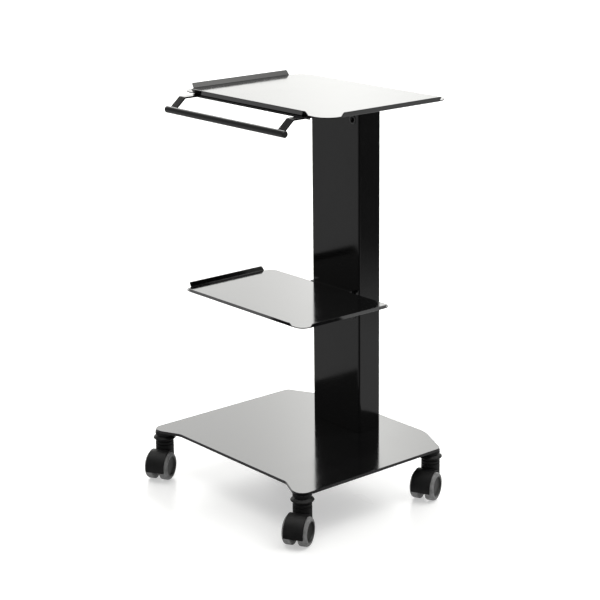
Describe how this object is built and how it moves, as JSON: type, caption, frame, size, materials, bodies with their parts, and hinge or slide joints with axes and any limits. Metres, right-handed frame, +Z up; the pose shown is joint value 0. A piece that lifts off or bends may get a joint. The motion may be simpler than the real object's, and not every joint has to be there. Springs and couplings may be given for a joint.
{
  "type": "mobile equipment trolley",
  "caption": "Black mobile equipment trolley: base plate on twin-wheel swivel casters, flat column, small middle shelf, lipped top shelf and a tube push handle.",
  "frame": {"origin": "centre of the outer box at floor level", "axes": "+Z up, -Y towards the push handle (front), +X to the right when facing the column from the handle side"},
  "size_m": [0.5339, 0.4659, 0.8425],
  "materials": {
    "black_lacquer": "glossy black lacquer on sheet steel and tube, plain and even",
    "zinc_steel": "bright zinc plated fasteners, stems and axles",
    "caster_plastic": "satin black moulded plastic",
    "hub_plastic": "dark grey moulded plastic",
    "grey_tyre": "matte grey soft tread",
    "grommet_plastic": "satin dark plastic edge ring",
    "plug_plastic": "satin black plastic end plug"
  },
  "bodies": {
    "chassis": {"base_plate": "black_lacquer", "caster_bosses": "black_lacquer", "column_tube": "black_lacquer", "column_foot_plate": "black_lacquer", "column_foot_screws": "zinc_steel", "column_head_plate": "black_lacquer", "top_shelf": "black_lacquer", "top_shelf_studs": "zinc_steel", "top_shelf_nuts": "zinc_steel", "mid_shelf": "black_lacquer", "mid_shelf_bracket": "black_lacquer", "mid_bracket_screws": "zinc_steel", "mid_shelf_studs": "zinc_steel", "mid_shelf_nuts": "zinc_steel", "handle_rail": "black_lacquer", "handle_studs": "zinc_steel", "handle_nuts": "zinc_steel", "handle_arm_left": "black_lacquer", "handle_arm_right": "black_lacquer", "handle_tube": "black_lacquer", "handle_plugs": "plug_plastic", "cable_grommets": "grommet_plastic", "fl_stem": "zinc_steel", "fl_collar": "caster_plastic", "fr_stem": "zinc_steel", "fr_collar": "caster_plastic", "bl_stem": "zinc_steel", "bl_collar": "caster_plastic", "br_stem": "zinc_steel", "br_collar": "caster_plastic"},
    "front_left_fork": {"fl_hood": "caster_plastic", "fl_axle": "zinc_steel"},
    "front_left_wheel_left": {"fl_hub_left": "hub_plastic", "fl_tyre_left": "grey_tyre"},
    "front_left_wheel_right": {"fl_hub_right": "hub_plastic", "fl_tyre_right": "grey_tyre"},
    "front_right_fork": {"fr_hood": "caster_plastic", "fr_axle": "zinc_steel"},
    "front_right_wheel_left": {"fr_hub_left": "hub_plastic", "fr_tyre_left": "grey_tyre"},
    "front_right_wheel_right": {"fr_hub_right": "hub_plastic", "fr_tyre_right": "grey_tyre"},
    "rear_left_fork": {"bl_hood": "caster_plastic", "bl_axle": "zinc_steel"},
    "rear_left_wheel_left": {"bl_hub_left": "hub_plastic", "bl_tyre_left": "grey_tyre"},
    "rear_left_wheel_right": {"bl_hub_right": "hub_plastic", "bl_tyre_right": "grey_tyre"},
    "rear_right_fork": {"br_hood": "caster_plastic", "br_axle": "zinc_steel"},
    "rear_right_wheel_left": {"br_hub_left": "hub_plastic", "br_tyre_left": "grey_tyre"},
    "rear_right_wheel_right": {"br_hub_right": "hub_plastic", "br_tyre_right": "grey_tyre"}
  },
  "joints": [
    {"name": "front_left_swivel", "type": "hinge", "parent": "chassis", "child": "front_left_fork", "pos_m": [-0.24296, -0.17331, 0.056], "axis": [0, 0, 1], "continuous": true},
    {"name": "front_left_wheel_left_spin", "type": "hinge", "parent": "front_left_fork", "child": "front_left_wheel_left", "pos_m": [-0.23046, -0.19496, 0.03], "axis": [0.866, 0.5, 0], "continuous": true},
    {"name": "front_left_wheel_right_spin", "type": "hinge", "parent": "front_left_fork", "child": "front_left_wheel_right", "pos_m": [-0.23046, -0.19496, 0.03], "axis": [0.866, 0.5, 0], "continuous": true},
    {"name": "front_right_swivel", "type": "hinge", "parent": "chassis", "child": "front_right_fork", "pos_m": [0.21904, -0.17331, 0.056], "axis": [0, 0, 1], "continuous": true},
    {"name": "front_right_wheel_left_spin", "type": "hinge", "parent": "front_right_fork", "child": "front_right_wheel_left", "pos_m": [0.23154, -0.19496, 0.03], "axis": [0.866, 0.5, 0], "continuous": true},
    {"name": "front_right_wheel_right_spin", "type": "hinge", "parent": "front_right_fork", "child": "front_right_wheel_right", "pos_m": [0.23154, -0.19496, 0.03], "axis": [0.866, 0.5, 0], "continuous": true},
    {"name": "rear_left_swivel", "type": "hinge", "parent": "chassis", "child": "rear_left_fork", "pos_m": [-0.24296, 0.17769, 0.056], "axis": [0, 0, 1], "continuous": true},
    {"name": "rear_left_wheel_left_spin", "type": "hinge", "parent": "rear_left_fork", "child": "rear_left_wheel_left", "pos_m": [-0.23279, 0.15485, 0.03], "axis": [0.9135, 0.4067, 0], "continuous": true},
    {"name": "rear_left_wheel_right_spin", "type": "hinge", "parent": "rear_left_fork", "child": "rear_left_wheel_right", "pos_m": [-0.23279, 0.15485, 0.03], "axis": [0.9135, 0.4067, 0], "continuous": true},
    {"name": "rear_right_swivel", "type": "hinge", "parent": "chassis", "child": "rear_right_fork", "pos_m": [0.21904, 0.17769, 0.056], "axis": [0, 0, 1], "continuous": true},
    {"name": "rear_right_wheel_left_spin", "type": "hinge", "parent": "rear_right_fork", "child": "rear_right_wheel_left", "pos_m": [0.22921, 0.15485, 0.03], "axis": [0.9135, 0.4067, 0], "continuous": true},
    {"name": "rear_right_wheel_right_spin", "type": "hinge", "parent": "rear_right_fork", "child": "rear_right_wheel_right", "pos_m": [0.22921, 0.15485, 0.03], "axis": [0.9135, 0.4067, 0], "continuous": true}
  ]
}
